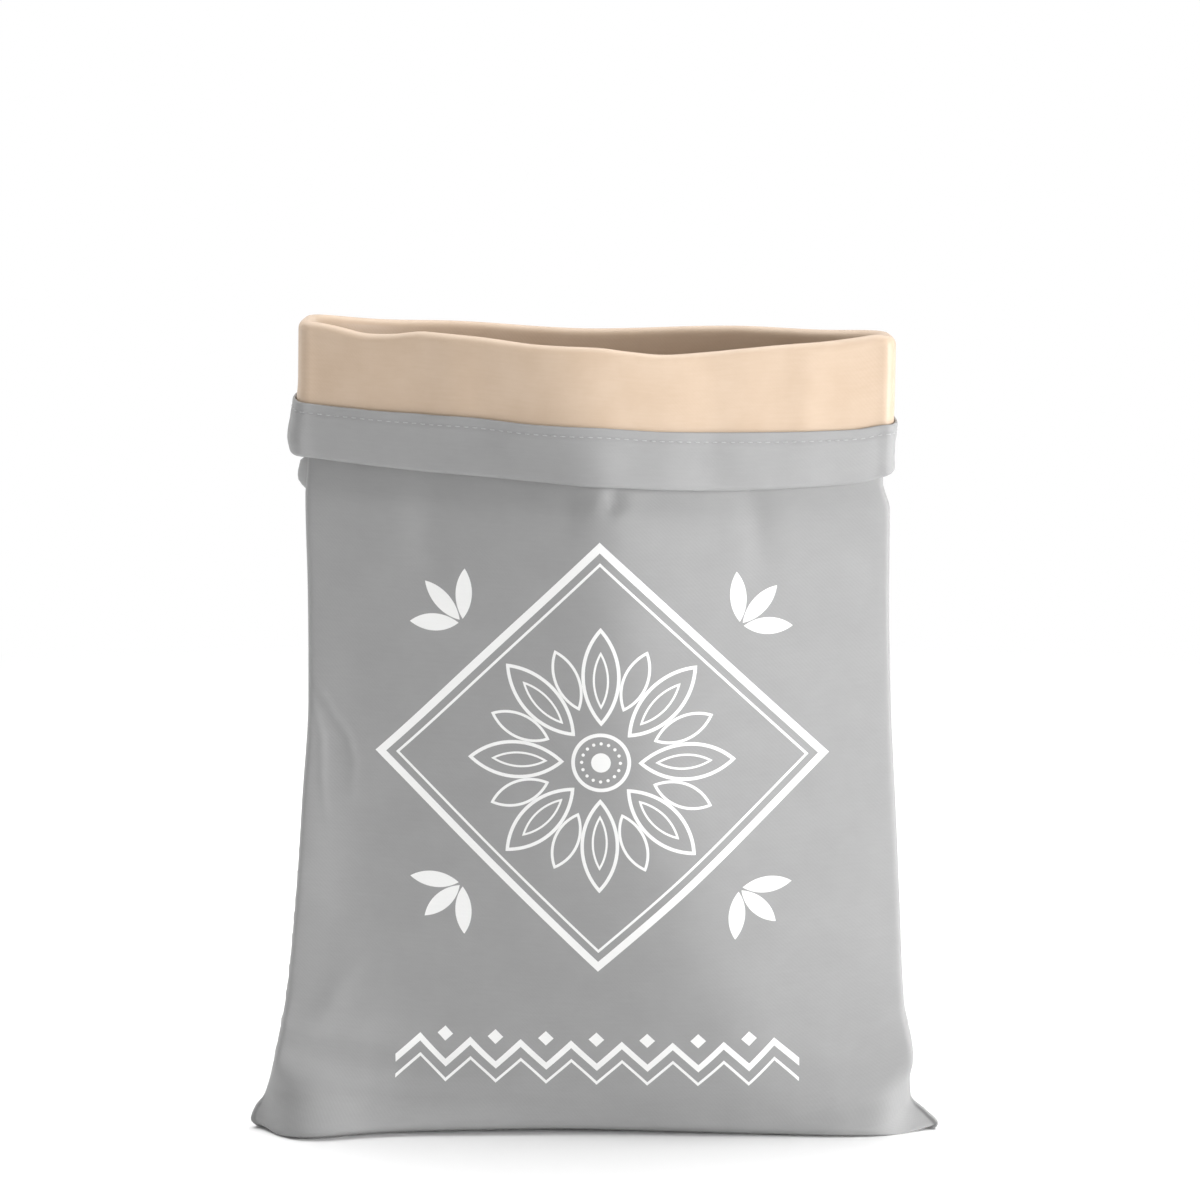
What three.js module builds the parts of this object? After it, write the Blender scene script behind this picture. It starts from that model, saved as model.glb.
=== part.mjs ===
import * as THREE from "three";

// A bread bag of two panels, each with a lining, standing open with its mouth turned down as a cuff.
// Millimetres, Z up, the front towards -Y, the left of the front towards -X.

// Cloth
const OUTER_PLY = 1.0; // thickness of the grey cloth
const LINING_PLY = 1.0; // thickness of the waxed lining
const PLY_GAP = 0.3; // air between two plies that lie on each other
const SEAM_GAP = 0.3; // air between the front and the back panel along their seams
const WALL = OUTER_PLY + PLY_GAP + LINING_PLY; // the whole wall, from outer face to inner face

// Cuff
const CUFF_DROP = 60; // from the rim down to the mouth edge
const CUFF_CLEARANCE = 2; // air between the wall and the cuff at the rim
const BAND_HEIGHT = 25; // hem of the grey cloth, turned up over the lining's edge
const LINING_TUCK = 10; // how far the lining reaches under the hem band
const LIFT_REACH = 90; // the rim's waves die out this far down the wall
const SWELL_START = 15; // swells of the cloth grow from nothing at the bottom seam over this length

// Net of the panels
const ACROSS = 28; // strips from one side seam to the other
const FOLD_STEPS = 5; // steps around the rim fold
const HEM_STEPS = 4; // steps around the fold at the mouth edge
const ROW_STEPS = [1, 1, 2, 2, 1, 2, 2, 2, 2, 2, 1, 1, 2]; // rows between one section and the next
const PINCH_DEPTH = 40; // sections shallower than this are pressed together at their side seams

// Where the side seams run, one row for each section from the bottom seam up to the rim.
// left, right: place of the seam; leftZ, rightZ: its height.
const SIDE_SEAMS = [
  { left: -153.4, leftZ: 1.0, right: 148.5, rightZ: 0.5 },
  { left: -152.6, leftZ: 3.5, right: 146.4, rightZ: 2.8 },
  { left: -150.6, leftZ: 8, right: 142.4, rightZ: 7 },
  { left: -147.6, leftZ: 14, right: 136.8, rightZ: 13.6 },
  { left: -145.2, leftZ: 21, right: 136.4, rightZ: 22 },
  { left: -142.6, leftZ: 32, right: 137.2, rightZ: 32 },
  { left: -137.4, leftZ: 59, right: 132.8, rightZ: 59 },
  { left: -133.0, leftZ: 104, right: 130.2, rightZ: 104 },
  { left: -129.5, leftZ: 148, right: 127.6, rightZ: 148 },
  { left: -126.7, leftZ: 192, right: 125.4, rightZ: 192 },
  { left: -126.3, leftZ: 240, right: 124.4, rightZ: 236 },
  { left: -127.0, leftZ: 280, right: 123.6, rightZ: 274 },
  { left: -126.2, leftZ: 293.6, right: 120.6, rightZ: 286.3 },
  { left: -125.7, leftZ: 353.6, right: 120.3, rightZ: 346.3 },
];

// How each panel stands out from the seams, one row for each of the same sections.
// depth: at the middle; z: height of the middle; full: how boxy the section is; blunt: 1 for a pointed
// end, under 0.5 for a round one; ridge: loss of depth from the ridge over a half width, or gain if below
// zero; ridgeAt: place of the ridge; flat: share of the half width that stays level before it rises.
const FRONT = [
  { depth: 0, z: 0, full: 12, blunt: 1, ridge: 0, ridgeAt: -20, flat: 0.92 },
  { depth: 6, z: 0, full: 12, blunt: 1, ridge: -9, ridgeAt: -20, flat: 0.92 },
  { depth: 12, z: 0, full: 12, blunt: 1, ridge: -18, ridgeAt: -20, flat: 0.92 },
  { depth: 22, z: 2.9, full: 13, blunt: 0.9, ridge: -13.2, ridgeAt: -12, flat: 0.88 },
  { depth: 32, z: 8.5, full: 9, blunt: 0.8, ridge: -4.8, ridgeAt: 0, flat: 0.65 },
  { depth: 38, z: 18, full: 6, blunt: 0.65, ridge: 1.9, ridgeAt: 20, flat: 0.5 },
  { depth: 45.5, z: 50, full: 3.8, blunt: 0.5, ridge: 9.1, ridgeAt: 40, flat: 0.2 },
  { depth: 52.5, z: 98, full: 2.9, blunt: 0.45, ridge: 14.2, ridgeAt: 32, flat: 0 },
  { depth: 57.5, z: 144, full: 2.6, blunt: 0.42, ridge: 17.2, ridgeAt: 22, flat: 0 },
  { depth: 61, z: 189, full: 2.5, blunt: 0.4, ridge: 18.3, ridgeAt: 14, flat: 0 },
  { depth: 63, z: 233, full: 2.5, blunt: 0.4, ridge: 18.9, ridgeAt: 8, flat: 0 },
  { depth: 64, z: 273, full: 2.5, blunt: 0.4, ridge: 19.2, ridgeAt: 2, flat: 0 },
  { depth: 63, z: 285.2, full: 2.5, blunt: 0.4, ridge: 18.9, ridgeAt: 0, flat: 0 },
  { depth: 61, z: 345.2, full: 2.5, blunt: 0.4, ridge: 16.5, ridgeAt: 0, flat: 0 },
];
const BACK = [
  { depth: 0, z: 0, full: 12, blunt: 1, ridge: 0, ridgeAt: 10, flat: 0.9 },
  { depth: 10, z: 0, full: 12, blunt: 1, ridge: -4, ridgeAt: 10, flat: 0.9 },
  { depth: 21, z: 0, full: 12, blunt: 1, ridge: -8.4, ridgeAt: 10, flat: 0.9 },
  { depth: 30, z: 2.2, full: 12, blunt: 0.9, ridge: -7.5, ridgeAt: 0, flat: 0.82 },
  { depth: 37, z: 8, full: 8, blunt: 0.8, ridge: -3.7, ridgeAt: -10, flat: 0.65 },
  { depth: 41, z: 18, full: 5.5, blunt: 0.65, ridge: 0, ridgeAt: -20, flat: 0.5 },
  { depth: 47, z: 50, full: 3.4, blunt: 0.5, ridge: 2.8, ridgeAt: -20, flat: 0.2 },
  { depth: 53, z: 98, full: 2.6, blunt: 0.45, ridge: 5.3, ridgeAt: -15, flat: 0 },
  { depth: 57, z: 144, full: 2.4, blunt: 0.43, ridge: 6.8, ridgeAt: -10, flat: 0 },
  { depth: 59, z: 189, full: 2.3, blunt: 0.43, ridge: 7.1, ridgeAt: -5, flat: 0 },
  { depth: 60, z: 233, full: 2.3, blunt: 0.43, ridge: 7.2, ridgeAt: 0, flat: 0 },
  { depth: 60, z: 274, full: 2.3, blunt: 0.43, ridge: 7.2, ridgeAt: 5, flat: 0 },
  { depth: 59, z: 286, full: 2.3, blunt: 0.43, ridge: 7.1, ridgeAt: 6, flat: 0 },
  { depth: 58, z: 346, full: 2.3, blunt: 0.43, ridge: 7, ridgeAt: 8, flat: 0 },
];
const RIDGE_SOFTNESS = 0.12; // of the half width, over which the ridge is rounded

// The ears at the ends of the bottom seam. side: -1 left, 1 right; from, tip: where the ear starts to turn
// and where it ends, counted from the middle; turn: how far its tip lies to the back.
const EARS = [
  { side: -1, from: 112, tip: 153.4, turn: 1 },
  { side: 1, from: 108, tip: 148.5, turn: -5 },
];
const EAR_HEIGHT = 60; // the ears' turn dies out at this height
const EAR_PRESS = 50; // the plies of the ears are pressed together up to this length from the bottom seam
const EAR_PRESS_FROM = 0.75; // share of the half width where that begins

// Soft swells and hollows of the cloth. across: share of the half width, from -1 at the left seam to 1
// at the right; up: length from the bottom seam; wide, tall: reach of the swell; out: its height.
const FRONT_SWELLS = [
  { across: -0.87, up: 22, wide: 0.11, tall: 26, out: 8 },
  { across: -0.62, up: 55, wide: 0.16, tall: 30, out: -2.5 },
  { across: 0.66, up: 52, wide: 0.16, tall: 30, out: -2.5 },
  { across: -0.86, up: 175, wide: 0.12, tall: 42, out: -2.5 },
  { across: -0.3, up: 265, wide: 0.14, tall: 38, out: -2 },
];
const BACK_SWELLS = [
  { across: -0.55, up: 70, wide: 0.2, tall: 40, out: -3 },
  { across: 0.45, up: 140, wide: 0.18, tall: 60, out: -2.5 },
  { across: -0.2, up: 230, wide: 0.2, tall: 55, out: -2.5 },
];

// The cuff by its place across the bag. rim: how far the rim waves above its line; edge: how far the
// mouth edge is lifted; flare: how far the cuff's lower part swells out beyond its clearance.
const FRONT_CUFF = [
  { across: -1, rim: 0, edge: 4.4, flare: 3.4 },
  { across: -0.85, rim: 0.2, edge: 4.8, flare: 2.4 },
  { across: -0.72, rim: 1.6, edge: 5.4, flare: 1.8 },
  { across: -0.58, rim: 4.2, edge: 6.2, flare: 1.6 },
  { across: -0.42, rim: 3.8, edge: 6.4, flare: 1.4 },
  { across: -0.2, rim: 1.6, edge: 4.3, flare: 2.4 },
  { across: 0.1, rim: 0.8, edge: 2.8, flare: 1.2 },
  { across: 0.4, rim: 0.6, edge: 1.3, flare: 2.2 },
  { across: 0.65, rim: 1.5, edge: 0.4, flare: 1.6 },
  { across: 0.9, rim: 2.6, edge: 0.2, flare: 0.8 },
  { across: 1, rim: 0, edge: 0.2, flare: 0.6 },
];
const BACK_CUFF = [
  { across: -1, rim: 0, edge: 4.4, flare: 3.4 },
  { across: -0.5, rim: 2.4, edge: 2.6, flare: 1.8 },
  { across: 0, rim: 0.4, edge: 0.6, flare: 2.6 },
  { across: 0.5, rim: 2.0, edge: 2.4, flare: 1.4 },
  { across: 1, rim: 0, edge: 0.2, flare: 0.6 },
];
// The flare by height: nothing near the rim, full where the hem band swells, less at the mouth edge.
const FLARE_BY_DROP = [
  { drop: 0, share: 0 },
  { drop: 25, share: 0.02 },
  { drop: 36, share: 0.25 },
  { drop: 52, share: 1 },
  { drop: CUFF_DROP, share: 0.5 },
];

// A curve through the points (keys[i], values[i]) that never overshoots them.
function smoothCurve(keys, values) {
  const last = keys.length - 1;
  const rise = [];
  for (let i = 0; i < last; i += 1) {
    rise.push((values[i + 1] - values[i]) / (keys[i + 1] - keys[i]));
  }
  const slope = values.map((_, i) => {
    if (i === 0) return rise[0];
    if (i === last) return rise[last - 1];
    if (rise[i - 1] * rise[i] <= 0) return 0;
    return (2 * rise[i - 1] * rise[i]) / (rise[i - 1] + rise[i]);
  });
  return (at) => {
    const key = Math.min(Math.max(at, keys[0]), keys[last]);
    let i = 0;
    while (i < last - 1 && key > keys[i + 1]) i += 1;
    const span = keys[i + 1] - keys[i];
    const t = (key - keys[i]) / span;
    const bend = t * t * (3 - 2 * t);
    const ease = span * t * (1 - t) * ((1 - t) * slope[i] - t * slope[i + 1]);
    return values[i] + (values[i + 1] - values[i]) * bend + ease;
  };
}

// One curve for each column of a table.
function tableCurves(keys, table) {
  const names = Object.keys(table[0]);
  return Object.fromEntries(names.map((name) => [name, smoothCurve(keys, table.map((row) => row[name]))]));
}

function column(table, name) {
  return table.map((row) => row[name]);
}

// Lengths along the middle of the front panel, from the bottom seam to each section.
const SECTION_AT = [0];
for (let i = 1; i < FRONT.length; i += 1) {
  const step = Math.hypot(FRONT[i].depth - FRONT[i - 1].depth, FRONT[i].z - FRONT[i - 1].z);
  SECTION_AT.push(SECTION_AT[i - 1] + step);
}
const RIM_AT = SECTION_AT[SECTION_AT.length - 1];
const seams = tableCurves(SECTION_AT, SIDE_SEAMS);
const flareByDrop = smoothCurve(column(FLARE_BY_DROP, "drop"), column(FLARE_BY_DROP, "share"));

// One panel's outer face. a runs from -1 at the left seam to 1 at the right seam, and up is the length
// from the bottom seam. The depth is counted away from the seams, whichever way the panel faces.
function outerFace(panel, a, up) {
  const { shape, swells } = panel;
  const xs = Math.sin((Math.PI / 2) * a);
  const left = seams.left(up);
  const right = seams.right(up);
  const half = (right - left) / 2;
  const fromRidge = xs - shape.ridgeAt(up) / half;
  const fall = shape.ridge(up) * (Math.hypot(fromRidge, RIDGE_SOFTNESS) - RIDGE_SOFTNESS);
  const round = Math.max(0, 1 - Math.abs(xs) ** shape.full(up)) ** shape.blunt(up);
  const flat = shape.flat(up);
  const rise = (Math.max(0, Math.abs(xs) - flat) / (1 - flat)) ** 2;
  const seamZ = xs < 0 ? seams.leftZ(up) : seams.rightZ(up);
  const swell = swells.reduce((sum, { across, up: at, wide, tall, out }) => {
    const away = ((xs - across) / wide) ** 2 + ((up - at) / tall) ** 2;
    return sum + out * Math.exp(-away);
  }, 0);
  const swellShare = Math.min(1, up / SWELL_START);
  return {
    x: (left + right) / 2 + half * xs,
    depth: (shape.depth(up) - fall + swell * swellShare) * round,
    z: shape.z(up) + (seamZ - shape.z(up)) * rise,
  };
}

const STRAIGHT_OUT = new THREE.Vector3(0, 1, 0);
const SLOPE_STEP_ACROSS = 2 / ACROSS; // steps over which the slopes are taken, which rounds the corners
const SLOPE_STEP_UP = 9;

// The direction straight out of the panel at a point, from the face's own slopes.
function outward(panel, a, up) {
  const a0 = outerFace(panel, Math.max(-1, a - SLOPE_STEP_ACROSS), up);
  const a1 = outerFace(panel, Math.min(1, a + SLOPE_STEP_ACROSS), up);
  const u0 = outerFace(panel, a, Math.max(0, up - SLOPE_STEP_UP));
  const u1 = outerFace(panel, a, Math.min(RIM_AT, up + SLOPE_STEP_UP));
  const along = new THREE.Vector3(a1.x - a0.x, a1.depth - a0.depth, a1.z - a0.z);
  const climb = new THREE.Vector3(u1.x - u0.x, u1.depth - u0.depth, u1.z - u0.z);
  const out = climb.cross(along).normalize();
  const atEar = THREE.MathUtils.smoothstep(Math.abs(Math.sin((Math.PI / 2) * a)), EAR_PRESS_FROM, 1);
  const low = 1 - THREE.MathUtils.smoothstep(up, 0, EAR_PRESS);
  out.lerp(STRAIGHT_OUT, atEar * low).normalize();
  if (Math.abs(a) === 1) {
    out.y *= Math.min(1, Math.max(0, 1 - panel.shape.depth(up) / PINCH_DEPTH));
    out.normalize();
  }
  return out;
}

// How far to the back the seam between the panels lies at a place on the bag.
function seamTurn(x, z) {
  const fade = 1 - THREE.MathUtils.smoothstep(z, 0, EAR_HEIGHT);
  return EARS.reduce((sum, { side, from, tip, turn }) => {
    const reach = Math.max(0, (side * x - from) / (tip - from));
    return sum + turn * reach ** 2 * fade;
  }, 0);
}

// A point at a distance out of the panel's outer face: negative within the wall, positive in the cuff.
function panelPoint(panel, a, up, out) {
  const face = outerFace(panel, a, up);
  const normal = outward(panel, a, up);
  const across = Math.sin((Math.PI / 2) * a);
  const drop = RIM_AT - up;
  const cuffShare = Math.min(1, Math.max(0, out / CUFF_CLEARANCE));
  const reach = out + panel.cuff.flare(across) * flareByDrop(drop) * cuffShare;
  const wave = panel.cuff.rim(across);
  const wallLift = wave * THREE.MathUtils.smoothstep(LIFT_REACH - drop, 0, LIFT_REACH);
  const cuffLift = wave + ((panel.cuff.edge(across) - wave) * drop) / CUFF_DROP;
  const lift = wallLift + (cuffLift - wallLift) * cuffShare;
  const innerDepth = face.depth - WALL * Math.max(0, normal.y);
  const pressed = Math.max(0, SEAM_GAP / 2 - innerDepth);
  const depth = face.depth + pressed + reach * normal.y;
  const x = face.x + reach * normal.x;
  const z = face.z + reach * normal.z + lift;
  return new THREE.Vector3(x, panel.side * depth + seamTurn(x, z), z);
}

// The rows of the wall, as lengths from the bottom seam, up to the level where the rim fold begins.
function wallRows(foldDrop) {
  const rows = [];
  ROW_STEPS.forEach((steps, i) => {
    const end = Math.min(SECTION_AT[i + 1], RIM_AT - foldDrop);
    for (let k = 0; k < steps; k += 1) {
      rows.push(SECTION_AT[i] + ((end - SECTION_AT[i]) * k) / steps);
    }
  });
  rows.push(RIM_AT - foldDrop);
  return rows;
}

// A half turn of a ply in the section: up is the length from the bottom seam, out the distance from the
// wall's outer face. sense is 1 over the rim and -1 under the mouth edge.
function halfTurn(centreUp, centreOut, radius, steps, sense) {
  const points = [];
  for (let k = 1; k < steps; k += 1) {
    const angle = (Math.PI * k) / steps;
    const up = centreUp + sense * radius * Math.sin(angle);
    points.push({ up, out: centreOut - radius * Math.cos(angle) });
  }
  return points;
}

const RIM_CENTRE_OUT = CUFF_CLEARANCE / 2;
const RIM_CENTRE_DROP = RIM_CENTRE_OUT + WALL;
const OUTER_RIM_RADIUS = RIM_CENTRE_OUT + OUTER_PLY / 2;
const LINING_RIM_RADIUS = RIM_CENTRE_OUT + OUTER_PLY + PLY_GAP + LINING_PLY / 2;
const HEM_RADIUS = (OUTER_PLY + LINING_PLY) / 2 + PLY_GAP;
const HEM_CENTRE_OUT = CUFF_CLEARANCE + OUTER_PLY / 2 + HEM_RADIUS;
const HEM_CENTRE_DROP = CUFF_DROP - HEM_RADIUS - OUTER_PLY / 2;
const BAND_TOP_DROP = CUFF_DROP - BAND_HEIGHT;

// The levels of the cuff's rows below the rim. All its plies share them, so their faces stay parallel.
const BEIGE_DROPS = [RIM_CENTRE_DROP, (RIM_CENTRE_DROP + BAND_TOP_DROP) / 2];
const TUCK_DROPS = [BAND_TOP_DROP, BAND_TOP_DROP + LINING_TUCK];
const BAND_DROPS = [(TUCK_DROPS[1] + HEM_CENTRE_DROP) / 2, HEM_CENTRE_DROP];

function cuffRows(drops, out) {
  return drops.map((drop) => ({ up: RIM_AT - drop, out }));
}

// Middle line of the grey cloth in section: up the wall, over the rim, down the cuff and up as the hem.
function outerSection() {
  const wall = wallRows(RIM_CENTRE_DROP).map((up) => ({ up, out: -OUTER_PLY / 2 }));
  const rimUp = RIM_AT - RIM_CENTRE_DROP;
  const hemUp = RIM_AT - HEM_CENTRE_DROP;
  return [
    ...wall,
    ...halfTurn(rimUp, RIM_CENTRE_OUT, OUTER_RIM_RADIUS, FOLD_STEPS, 1),
    ...cuffRows([...BEIGE_DROPS, ...TUCK_DROPS, ...BAND_DROPS], RIM_CENTRE_OUT + OUTER_RIM_RADIUS),
    ...halfTurn(hemUp, HEM_CENTRE_OUT, HEM_RADIUS, HEM_STEPS, -1),
    ...cuffRows([...TUCK_DROPS, ...BAND_DROPS].reverse(), HEM_CENTRE_OUT + HEM_RADIUS),
  ];
}

// Middle line of the lining in section: up inside the wall, over the rim and down under the hem band.
function liningSection() {
  const inside = -(OUTER_PLY + PLY_GAP + LINING_PLY / 2);
  const wall = wallRows(RIM_CENTRE_DROP).map((up) => ({ up, out: inside }));
  const rimUp = RIM_AT - RIM_CENTRE_DROP;
  return [
    ...wall,
    ...halfTurn(rimUp, RIM_CENTRE_OUT, LINING_RIM_RADIUS, FOLD_STEPS, 1),
    ...cuffRows([...BEIGE_DROPS, ...TUCK_DROPS], RIM_CENTRE_OUT + LINING_RIM_RADIUS),
  ];
}

// The two faces of a ply around its middle line, half its thickness to each side.
function plyFaces(section, thickness) {
  const faces = { wallward: [], outward: [] };
  section.forEach((point, i) => {
    const before = section[Math.max(0, i - 1)];
    const after = section[Math.min(section.length - 1, i + 1)];
    const length = Math.hypot(after.up - before.up, after.out - before.out);
    const upPart = (-(after.out - before.out) / length) * (thickness / 2);
    const outPart = ((after.up - before.up) / length) * (thickness / 2);
    faces.outward.push({ up: point.up + upPart, out: point.out + outPart });
    faces.wallward.push({ up: point.up - upPart, out: point.out - outPart });
  });
  return faces;
}

// A closed solid: the ply's section carried across the panel from one side seam to the other.
function panelGeometry(panel, section, thickness) {
  const { wallward, outward: far } = plyFaces(section, thickness);
  const ring = [...far, ...wallward.reverse()];
  const rows = section.length;
  const positions = [];
  for (let j = 0; j <= ACROSS; j += 1) {
    const a = -1 + (2 * j) / ACROSS;
    ring.forEach((corner) => positions.push(...panelPoint(panel, a, corner.up, corner.out).toArray()));
  }
  const faces = [];
  const count = ring.length;
  const quad = (p, q, r, s) => faces.push(p, q, r, p, r, s);
  for (let j = 0; j < ACROSS; j += 1) {
    for (let i = 0; i < count; i += 1) {
      const next = (i + 1) % count;
      const corners = [j * count + i, j * count + next, (j + 1) * count + next, (j + 1) * count + i];
      // Both faces are cut along the same diagonals, so plies that lie on each other stay parallel.
      quad(...(i < rows ? corners : [...corners.slice(1), corners[0]]));
    }
  }
  const end = ACROSS * count;
  for (let i = 0; i < rows - 1; i += 1) {
    const across = count - 1 - i;
    quad(i, across, across - 1, i + 1);
    quad(end + i, end + i + 1, end + across - 1, end + across);
  }
  if (panel.side < 0) {
    faces.reverse();
  }
  const geometry = new THREE.BufferGeometry();
  geometry.setAttribute("position", new THREE.Float32BufferAttribute(positions, 3));
  geometry.setIndex(faces);
  geometry.computeVertexNormals();
  return geometry;
}

const panels = {
  front: {
    side: -1,
    shape: tableCurves(SECTION_AT, FRONT),
    swells: FRONT_SWELLS,
    cuff: tableCurves(column(FRONT_CUFF, "across"), FRONT_CUFF),
  },
  back: {
    side: 1,
    shape: tableCurves(SECTION_AT, BACK),
    swells: BACK_SWELLS,
    cuff: tableCurves(column(BACK_CUFF, "across"), BACK_CUFF),
  },
};
const greyCloth = { color: 0xb2b2b4, roughness: 0.75, metalness: 0 };
const waxedLining = { color: 0xe6d0b8, roughness: 0.6, metalness: 0 };

const bag = new THREE.Group();
Object.entries(panels).forEach(([name, panel]) => {
  const outer = new THREE.Mesh(
    panelGeometry(panel, outerSection(), OUTER_PLY),
    new THREE.MeshStandardMaterial(greyCloth),
  );
  outer.name = `outer_${name}_panel`;
  const lining = new THREE.Mesh(
    panelGeometry(panel, liningSection(), LINING_PLY),
    new THREE.MeshStandardMaterial(waxedLining),
  );
  lining.name = `lining_${name}_panel`;
  bag.add(outer, lining);
});

// The origin is the middle of the bag's box, on the surface that it stands on.
const box = new THREE.Box3().setFromObject(bag);
bag.position.set(-(box.min.x + box.max.x) / 2, -(box.min.y + box.max.y) / 2, -box.min.z);

export default bag;
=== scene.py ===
"""Looks of a waxed bread bag that stands open with its mouth turned down as a cuff.

Each cloth is one thin sheet on a grid of two parameters: a, from -1 at the left side seam to 1 at the right
one, and the length along the cloth, up the wall, over the rim and down the cuff. Tables and formulas count
in millimetres, meshes in metres.
"""

import logging
import math
from collections.abc import Callable
from dataclasses import dataclass, fields, replace
from enum import Enum
from types import SimpleNamespace

import bpy
import numpy as np
from bpy.types import ID, Material, Node, NodeSocket, NodeTree, Object, Scene
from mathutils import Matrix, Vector


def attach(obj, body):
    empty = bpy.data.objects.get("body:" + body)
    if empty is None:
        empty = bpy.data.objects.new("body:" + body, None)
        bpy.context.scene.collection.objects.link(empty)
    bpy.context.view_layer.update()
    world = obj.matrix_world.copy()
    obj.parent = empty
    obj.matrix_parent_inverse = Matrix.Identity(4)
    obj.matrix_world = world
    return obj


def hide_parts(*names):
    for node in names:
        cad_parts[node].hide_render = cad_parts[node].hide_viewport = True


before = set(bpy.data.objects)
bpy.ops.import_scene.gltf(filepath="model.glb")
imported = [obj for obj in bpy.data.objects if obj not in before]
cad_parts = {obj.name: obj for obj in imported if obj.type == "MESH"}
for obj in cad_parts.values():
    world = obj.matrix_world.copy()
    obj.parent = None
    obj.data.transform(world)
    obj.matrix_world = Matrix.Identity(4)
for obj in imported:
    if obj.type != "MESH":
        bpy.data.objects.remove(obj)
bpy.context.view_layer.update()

Array = np.ndarray
Curve = Callable[[Array], Array]
Curves = dict[str, Curve]

MM = 0.001
BODY = "root"
LOG = logging.getLogger("bread_bag")

# From the tables' frame, which counts from the camera's middle line and the seams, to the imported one
ROW_SHIFT = np.array([2.45, 1.44, 0.0])

# Cloth and cuff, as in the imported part
OUTER_PLY = 1.0
LINING_PLY = 1.0
PLY_GAP = 0.3
WALL = OUTER_PLY + PLY_GAP + LINING_PLY
CUFF_DROP = 60.0
CUFF_CLEARANCE = 2.0
BAND_HEIGHT = 25.0
LINING_TUCK = 10.0
LIFT_REACH = 90.0
SWELL_START = 15.0
EAR_HEIGHT = 60.0
EAR_PRESS = 50.0
EAR_PRESS_FROM = 0.75
RIDGE_SOFTNESS = 0.12
SHARP_FROM = math.radians(50)
CORNER_POWER = 5.0
PINCH_DEPTH = 40.0
SLOPE_STEP_ACROSS = 2 / 28
SLOPE_STEP_UP = 9.0
RIM_CENTRE_OUT = CUFF_CLEARANCE / 2
RIM_CENTRE_DROP = RIM_CENTRE_OUT + WALL
OUTER_RIM_RADIUS = RIM_CENTRE_OUT + OUTER_PLY / 2
LINING_RIM_RADIUS = RIM_CENTRE_OUT + OUTER_PLY + PLY_GAP + LINING_PLY / 2
HEM_RADIUS = (OUTER_PLY + LINING_PLY) / 2 + PLY_GAP
HEM_CENTRE_OUT = CUFF_CLEARANCE + OUTER_PLY / 2 + HEM_RADIUS
HEM_CENTRE_DROP = CUFF_DROP - HEM_RADIUS - OUTER_PLY / 2
BAND_TOP_DROP = CUFF_DROP - BAND_HEIGHT
BAND_OUT = HEM_CENTRE_OUT + HEM_RADIUS

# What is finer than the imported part
SEAM_GAP = 0.1
EDGE_ROLL = 2.2
UNDERSIDE_FADE = 1.6
LINING_SHORT = 4.5
LINING_SHORT_FROM = 0.8
STITCH_DROP = BAND_TOP_DROP + 3.5
STITCH_PULL = 0.22
STITCH_PULL_REACH = 0.9
BAND_FOLD = 0.3
BAND_FOLD_REACH = 9.0
BAND_FOLD_BLEND = 4.0


class Side(Enum):
    """Which way a panel faces: its value is the sign of Y."""

    FRONT = -1
    BACK = 1


@dataclass(frozen=True)
class SeamPlace:
    """Where the side seams are at one section: place across and height."""

    left: float
    left_z: float
    right: float
    right_z: float


@dataclass(frozen=True)
class Section:
    """How a panel stands out from its seams at one section.

    depth, z: of its middle; full: how boxy it is; blunt: 1 for a pointed end, under 0.5 for a round one;
    ridge: depth lost from the ridge over a half width; ridge_at: the ridge's place; flat: share of the half
    width that stays level before it rises to the seam.
    """

    depth: float
    z: float
    full: float
    blunt: float
    ridge: float
    ridge_at: float
    flat: float


@dataclass(frozen=True)
class Swell:
    """A soft swell or hollow: its place, its reach across in half widths, its reach up and its height."""

    across: float
    up: float
    wide: float
    tall: float
    out: float


@dataclass(frozen=True)
class CuffPlace:
    """The cuff at one place: wave of the rim, lift of the mouth edge, flare, and lift of the band."""

    across: float
    rim: float
    edge: float
    flare: float
    band: float


@dataclass(frozen=True)
class Crease:
    """A soft ridge, or a trough if height is below zero, along a path of (x, z) places on the bag."""

    path: tuple[tuple[float, float], ...]
    height: float
    width: float


@dataclass(frozen=True)
class Fold:
    """The front's two flat faces at one length up, which meet in a soft ridge.

    left, right: how steeply they fall away from the ridge; soft: the ridge's width; share: how far they
    take the place of the section's own roundness.
    """

    up: float
    ridge_at: float
    left: float
    right: float
    soft: float
    share: float


@dataclass(frozen=True)
class Ear:
    """An end of the bottom seam: side, where the turn starts, the tip, and the turn to the back."""

    side: int
    start: float
    tip: float
    turn: float


def table(kind: type, *rows: tuple) -> tuple:
    """A table's rows, from the bottom up or from left to right, as objects of one kind."""
    return tuple(kind(*row) for row in rows)


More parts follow.
